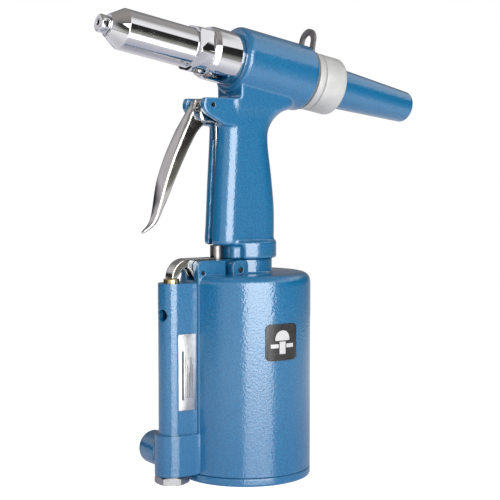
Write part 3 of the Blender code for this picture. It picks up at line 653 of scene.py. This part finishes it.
# ---- trigger train -----------------------------------------------------------
TRIGGER_ROWS = [                # height, front X, rear X, half width
    (165.0, -78.8, -77.4, 0.9),
    (166.6, -77.6, -74.6, 1.6),
    (169.5, -74.2, -70.8, 2.6),
    (173.5, -71.4, -67.8, 3.4),
    (181.0, -69.1, -64.6, 4.5),
    (190.0, -67.0, -60.8, 5.7),
    (198.0, -64.9, -57.6, 6.4),
    (206.0, -62.1, -53.8, 6.6),
    (214.0, -58.9, -49.8, 6.7),
    (222.0, -55.1, -45.4, 6.6),
    (230.5, -50.9, -39.8, 6.2),
    (236.0, -47.8, -33.5, 5.5),
    (239.0, -46.2, -30.0, 5.0),
    (243.2, -43.7, -27.4, 4.6),
]
LEAF_ROWS = [
    (243.8, -43.4, -40.4, 4.3),
    (246.2, -42.1, -39.8, 3.3),
    (248.8, -40.4, -38.6, 2.0),
    (251.0, -38.9, -37.7, 0.9),
]


def trigger_section(z, front, rear, half):
    corner = min(1.7, (rear - front) * 0.42, half * 0.8)
    outline = rounded([(rear, half), (front, half), (front - 0.35, 0, 0), (front, -half),
                       (rear, -half)], corner, 5)
    return [(x, y, z) for x, y in outline]


def trigger_train():
    x, z = PIVOT
    rows = smooth_rows(TRIGGER_ROWS, 5) + smooth_rows(LEAF_ROWS, 5)
    trigger = loft("trigger_shell", [trigger_section(*row) for row in rows], smooth_angle=40)
    arm_outline = rounded([(-36, 236.2), (-19.6, 236.2), (-19.6, 244.6, 1.5), (-27.2, 244.6),
                           (-30, 247, 1.0), (-37.4, 247, 1.0), (-37.4, 240)], 0)
    arm = plate("arm", arm_outline, -5.3, 5.3, SIDE, bevel=0.5)
    hub = disc("hub", 4.4, -8.3, 8.3, at(x, 0, z, ALONG_Y), edge=0.5, steps=64)
    join(trigger, arm, hub)
    fork = block("fork", (-27.6, -2.1, 230), (-15, 2.1, 252))
    hole = disc("trigger_hole", PIN_HOLE_R, -20, 20, at(x, 0, z, ALONG_Y), steps=32)
    cut(trigger, fork, hole)
    settle(trigger, ["trigger"], "trigger", material=polished_steel("trigger_steel", 1.3))
    pin = turned("trigger_pin_shell", rounded([(0.8, -13.4), (1.5, -13.4, 0.25), (1.5, 13.4, 0.25),
                                               (0.8, 13.4)], 0), at(x, 0, z, ALONG_Y), steps=40)
    settle(pin, ["trigger_pin"])
    rod_profile = [(0, 150.5), (1.2, 150.5)]
    for i in range(24):
        rod_profile += [(1.5, 150.9 + 0.5 * i), (1.32, 151.15 + 0.5 * i)]
    for i in range(22):
        rod_profile += [(1.5, 237.6 + 0.5 * i), (1.32, 237.85 + 0.5 * i)]
    rod_profile += [(1.5, 248.9), (1.1, 249.4), (0, 249.4)]
    rod = turned("trigger_rod_shell", rod_profile, at(ROD_X, 0, 0), hollow=False, steps=40)
    settle(rod, ["trigger_rod"], "trigger_linkage")
    foot = turned("rod_foot_shell", rounded([
        (1.7, 155.4), (4.2, 155.4, 0.4), (4.2, 143.4, 0.4), (0, 143.4), (0, 149.9), (1.7, 149.9)], 0, 4,
        False), at(ROD_X, 0, 0), steps=64)
    cut(foot, block("foot_slot", (-30, -2.4, 144.8), (-15, 2.4, 148.8)))
    # the foot's darker steel is partly painted shade
    settle(foot, ["rod_foot"], "trigger_linkage", material=DULL_SHADED_STEEL)


def valve_lever():
    x, z = LEVER_PIVOT
    top, curl_x, curl_z, outer, inner = 147.5, -46.5, 134.9, 12.6, 7.4
    end_z, skin = 135.1, 1.5
    silhouette = [(-26.5, top)] + arc(curl_x, curl_z, outer, 90, 180, 28) + [
        (curl_x - outer, end_z), (curl_x - 9.4, end_z)] + arc(curl_x, curl_z, inner, 150, 100, 12) + [
        (-44.4, 139.0)] + arc(x, z, 4.2, 190, 320, 20) + [(-30.5, 143.5), (-26.5, 145.9)]
    lever = plate("lever_shell", silhouette, -4.5, 4.5, SIDE, bevel=0.35)
    hollow = [(-20, top - skin)] + arc(curl_x, curl_z, outer - skin, 90, 180, 28) + [
        (curl_x - outer + skin, 120.0), (-20, 120.0)]
    channel = plate("lever_channel", hollow, -3.2, 3.2, SIDE)
    lever_hole = disc("lever_pin_hole", 1.45, -8, 8, at(x, 0, z, ALONG_Y), steps=32)
    cut(lever, channel)
    join(lever, block("tongue", (-30.0, -2.0, 146.05), (-18.9, 2.0, top - 0.02), bevel=0.3))
    cut(lever, lever_hole)
    settle(lever, ["valve_lever"], "lever", material=polished_steel("lever_steel", 1.5))


# ---- valve parts seen from outside -------------------------------------------
def valve_ends():
    axis = at(VALVE_X, 0, 0)
    button = turned("button_shell", rounded([
        (0, 134.7), (5.2, 134.7, 0.5), (5.2, 128.4), (2.2, 128.4), (2.2, 126.5), (0, 126.5)], 0, 5,
        False), axis, hollow=False, steps=64)
    settle(button, ["valve_button"], "valve")
    plug = turned("plug_shell", rounded([
        (0, 11.5), (8.7, 11.5), (8.7, 5.2), (10.4, 5.2, 0.2), (11.5, 4.5, 0.2), (11.5, 1.1, 0.2),
        (10.4, 0.4, 0.2), (0, 0.4)], 0, 4, False), axis, hollow=False, steps=96)
    wall = plate("plug_flats", circle(18, 96), -1.0, 5.25, axis)
    cut(wall, plate("plug_core", rounded(polygon(6, 20.0, 30), 0.3, 3), -2, 8, axis))
    cut(plug, wall)
    # the plug's darker steel is painted shade
    settle(plug, ["valve_plug"], material=SHADED_PLUG_STEEL)


# ---- springs -----------------------------------------------------------------
def spring(node, radius, wire, low, high, turns, place):
    """Round-wire compression spring, coiled at one length between its two seats."""
    bm = bmesh.new()
    steps, sides = turns * 28, 10
    rings = []
    for i in range(steps + 1):
        angle = 2 * math.pi * turns * i / steps
        outward = Vector((math.cos(angle), math.sin(angle), 0))
        middle = outward * radius + Vector((0, 0, low + wire / 2 + (high - low - wire) * i / steps))
        ring = []
        for across, up in circle(wire / 2, sides):
            ring.append(bm.verts.new(middle + outward * across + Vector((0, 0, up))))
        rings.append(ring)
    for first, second in zip(rings, rings[1:]):
        for k in range(sides):
            j = (k + 1) % sides
            bm.faces.new((first[k], first[j], second[j], second[k]))
    bm.faces.new(rings[0])
    bm.faces.new(rings[-1])
    obj = finished(node + "_coil", bm, place)
    obj.data.materials.append(MATERIALS[SLOT_OF[node]])
    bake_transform(obj)
    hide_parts(node)


def springs():
    spring("return_spring", 11.3, 2.2, 22.4, 62.2, 7, BARREL)
    spring("jaw_spring", 5.4, 1.2, -65.6, -40.6, 5, BARREL)
    spring("valve_spring", 4.1, 1.1, 12.0, 36.6, 5, at(VALVE_X, 0, 0))


# ---- plates on the outside ---------------------------------------------------
def wrapped(name, outline, low_r, high_r, middle_z, bevel):
    """Outline in millimetres across and up, wrapped on the cylinder's left side."""
    obj = plate(name, outline, low_r, high_r, UPRIGHT, bevel)
    dense = bmesh.new()
    dense.from_mesh(obj.data)
    for offset in range(-11, 12):
        geometry = dense.verts[:] + dense.edges[:] + dense.faces[:]
        bmesh.ops.bisect_plane(dense, geom=geometry, plane_co=(offset * MM, 0, 0), plane_no=(1, 0, 0))
    for vertex in dense.verts:
        across, up, radius = vertex.co / MM
        angle = across / CYL_R
        vertex.co = Vector((radius * math.sin(angle), -radius * math.cos(angle), middle_z + up)) * MM
    bmesh.ops.recalc_face_normals(dense, faces=dense.faces)
    dense.to_mesh(obj.data)
    dense.free()
    obj.data.shade_smooth()
    obj.data.set_sharp_from_angle(angle=math.radians(SMOOTH_ANGLE))
    return obj


def badge():
    half, middle = 11.9, 94.0
    square = rounded([(half, -half), (half, half), (-half, half), (-half, -half)], 3.6, 10)
    settle(wrapped("badge_shell", square, CYL_R + GAP, CYL_R + 0.78, middle, 0.2), ["badge"])
    dome = arc(0, 2.4, 5.4, 0, 180, 24) + [(-5.4, 1.2), (5.4, 1.2)]
    shank = [(2.3, 0.5), (-2.3, 0.5), (-2.3, -7.6), (2.3, -7.6)]
    left_sheet = [(-3.0, -1.0), (-8.6, -1.0), (-8.6, -3.6), (-3.0, -3.6)]
    right_sheet = [(8.6, -1.0), (3.0, -1.0), (3.0, -3.6), (8.6, -3.6)]
    white = plain_metal("badge_mark", (0.72, 0.72, 0.72), (0.80, 0.80, 0.80), 0.3, 0.4, 900, 0.01, 0.0)
    for i, outline in enumerate((dome, shank, left_sheet, right_sheet)):
        soft = rounded(outline, 0.35, 3)
        mark = wrapped("badge_mark_%d" % i, soft, CYL_R + 0.7, CYL_R + 0.9, middle, 0.05)
        settle(mark, [], slot="black_badge", material=white)


def rating_plate():
    face = COLUMN_R + GAP
    left, right, low, high = -57.3, -44.1, 49.0, 99.0
    foil = rounded([(right, low), (right, high), (left, high), (left, low)], 1.0, 6)
    settle(plate("rating_plate_shell", foil, face, face + 0.28, SIDE, bevel=0.08), ["rating_plate"])
    ink = plain_metal("label_ink", (0.10, 0.10, 0.11), (0.16, 0.16, 0.17), 0.4, 0.5, 900, 0.01, 0.0)
    rules = [(2.4, 1.5, 56.0, 88.0)] + [(5.2 + 1.3 * i, 0.4, 57.0, 84.0 - 5.0 * (i % 3)) for i in range(5)]
    for i, (across, wide, bottom, top) in enumerate(rules):
        line = block("label_rule_%d" % i, (left + across, bottom, face + 0.22),
                     (left + across + wide, top, face + 0.32), SIDE)
        settle(line, [], slot="foil_label", material=ink)


handle_shell()
cylinder_shell()
base_cap_shell()
nose()
rear_end()
trigger_train()
valve_lever()
valve_ends()
springs()
badge()
rating_plate()


# ---- studio ------------------------------------------------------------------
CEILING = (1.0, (0.33, 0.31, 0.29))                # tones by height of direction, -1 down to 1 up
UNDERFOOT = (-1.0, (0.45, 0.45, 0.52))


def area_light(name, centre, target, size, power):
    data = bpy.data.lights.new(name, "AREA")
    data.shape = "RECTANGLE"
    data.size, data.size_y = size
    data.energy = power
    lamp = bpy.data.objects.new(name, data)
    bpy.context.scene.collection.objects.link(lamp)
    lamp.location = centre
    lamp.rotation_euler = (Vector(target) - Vector(centre)).to_track_quat("-Z", "Y").to_euler()
    return lamp


def floor():
    bm = bmesh.new()
    bmesh.ops.create_circle(bm, cap_ends=True, radius=0.9 / MM, segments=96)
    obj = finished("floor", bm, UPRIGHT)
    n = Nodes("pale_floor")
    n.put(Roughness=0.06, IOR=2.3, Base_Color=(0.5, 0.5, 0.5, 1))
    away = n.add("ShaderNodeVectorMath", operation="LENGTH")
    n.link(n.place, away.inputs[0])
    # Reflections see the floor's emission. Near the tool it is darker and lavender, a painted shadow of the
    # tool, brightening out to about 0.4 m as painted floor light. The camera sees plain white.
    glow = n.ramp(away.outputs["Value"], [(0.12, (0.24, 0.24, 0.31)), (0.40, (0.50, 0.50, 0.52))])
    seen = n.add("ShaderNodeLightPath").outputs["Is Camera Ray"]
    n.link(n.blend(seen, glow, (1.0, 1.0, 1.0)), n.shader.inputs["Emission Color"])
    n.put(Emission_Strength=1.0)
    obj.data.materials.append(n.material)


def studio_world():
    world = bpy.data.worlds.new("studio")
    bpy.context.scene.world = world
    world.use_nodes = True
    tree = world.node_tree
    tree.nodes.clear()
    add = tree.nodes.new
    direction = add("ShaderNodeTexCoord")
    split = add("ShaderNodeSeparateXYZ")
    tree.links.new(direction.outputs["Generated"], split.inputs[0])

    def ramp(socket, low, high, stops):
        span = add("ShaderNodeMapRange")
        span.inputs["From Min"].default_value = low
        span.inputs["From Max"].default_value = high
        tree.links.new(socket, span.inputs["Value"])
        node = add("ShaderNodeValToRGB")
        while len(node.color_ramp.elements) < len(stops):
            node.color_ramp.elements.new(0.5)
        for element, (value, colour) in zip(node.color_ramp.elements, stops):
            element.position = (value - low) / (high - low)
            element.color = (*colour, 1.0)
        tree.links.new(span.outputs["Result"], node.inputs["Fac"])
        return node.outputs["Color"]

    turn = add("ShaderNodeMath")
    turn.operation = "ARCTAN2"
    flip = add("ShaderNodeMath")
    flip.operation = "MULTIPLY"
    flip.inputs[1].default_value = -1.0
    tree.links.new(split.outputs["Y"], flip.inputs[0])
    tree.links.new(split.outputs["X"], turn.inputs[0])
    tree.links.new(flip.outputs[0], turn.inputs[1])

    def share(stops):
        """How far round from the front (-Y), towards +X, a tone holds: degrees and weight."""
        return ramp(turn.outputs[0], -math.pi, math.pi,
                    [(math.radians(angle), (weight,) * 3) for angle, weight in stops])

    def mixed(factor, first, second):
        mix = add("ShaderNodeMix")
        mix.data_type = "RGBA"
        tree.links.new(factor, mix.inputs["Factor"])
        tree.links.new(first, mix.inputs["A"])
        tree.links.new(second, mix.inputs["B"])
        return mix.outputs["Result"]

    height = split.outputs["Z"]
    floor_tones = [UNDERFOOT, (-0.33, (0.40, 0.40, 0.38)), (-0.10, (0.22, 0.22, 0.19))]
    front = ramp(height, -1, 1, floor_tones + [
        (0.06, (0.05, 0.05, 0.045)), (0.44, (0.04, 0.04, 0.04)), (0.62, (0.22, 0.21, 0.20)),
        CEILING])
    right = ramp(height, -1, 1, floor_tones + [
        (0.05, (0.03, 0.03, 0.03)), (0.42, (0.02, 0.02, 0.02)), (0.46, (1.0, 1.0, 1.0)),
        (0.70, (0.9, 0.9, 0.9)), (0.80, (0.36, 0.35, 0.34)), CEILING])
    far_side = ramp(height, -1, 1, [
        UNDERFOOT, (-0.02, (0.42, 0.42, 0.50)), (0.12, (0.13, 0.13, 0.14)),
        (0.5, (0.22, 0.22, 0.23)), CEILING])
    left = ramp(height, -1, 1, [
        UNDERFOOT, (-0.1, (0.04, 0.04, 0.05)), (0.16, (0.02, 0.02, 0.025)),
        (0.25, (0.66, 0.64, 0.70)), (0.50, (0.60, 0.59, 0.62)), (0.62, (0.12, 0.12, 0.12)),
        CEILING])
    tones = mixed(share([(19, 0.0), (24, 1.0)]), front, right)
    tones = mixed(share([(104, 0.0), (125, 1.0)]), tones, far_side)
    haze = ramp(height, -1, 1, floor_tones[:-1] + [
        (-0.15, (0.70, 0.70, 0.70)), (0.55, (0.75, 0.74, 0.72)), (0.70, (0.30, 0.30, 0.29)),
        CEILING])
    tones = mixed(share([(-46, 1.0), (-38, 0.0)]), tones, haze)
    tones = mixed(share([(-86, 1.0), (-74, 0.0)]), tones, left)
    tones = mixed(share([(-178, 1.0), (-164, 0.0)]), tones, far_side)
    light = add("ShaderNodeBackground")
    tree.links.new(tones, light.inputs["Color"])
    seen = add("ShaderNodeBackground")
    seen.inputs["Color"].default_value = (1, 1, 1, 1)
    path = add("ShaderNodeLightPath")
    choose = add("ShaderNodeMixShader")
    tree.links.new(path.outputs["Is Camera Ray"], choose.inputs[0])
    tree.links.new(light.outputs[0], choose.inputs[1])
    tree.links.new(seen.outputs[0], choose.inputs[2])
    output = add("ShaderNodeOutputWorld")
    tree.links.new(choose.outputs[0], output.inputs["Surface"])


def camera():
    data = bpy.data.cameras.new("camera")
    data.lens = 95.18
    data.sensor_width = 36.0
    data.clip_start, data.clip_end = 0.05, 20.0
    obj = bpy.data.objects.new("camera", data)
    bpy.context.scene.collection.objects.link(obj)
    obj.location = Vector((-481.4, -745.9, 213.4)) * MM
    azimuth, elevation = math.radians(-33.05), math.radians(4.0)
    obj.rotation_euler = (math.pi / 2 - elevation, 0.0, azimuth)
    bpy.context.scene.camera = obj


floor()
studio_world()
sheen = area_light("sheen_softbox", (-0.20, -1.23, 0.45), (0, 0, 0.15), (1.22, 1.10), 21)
sheen.visible_diffuse = False
glow = area_light("front_softbox", (-0.25, -1.22, 0.45), (0, 0, 0.15), (1.36, 1.10), 12.5)
glow.visible_glossy = False
camera()
bpy.context.scene.view_settings.view_transform = "Standard"
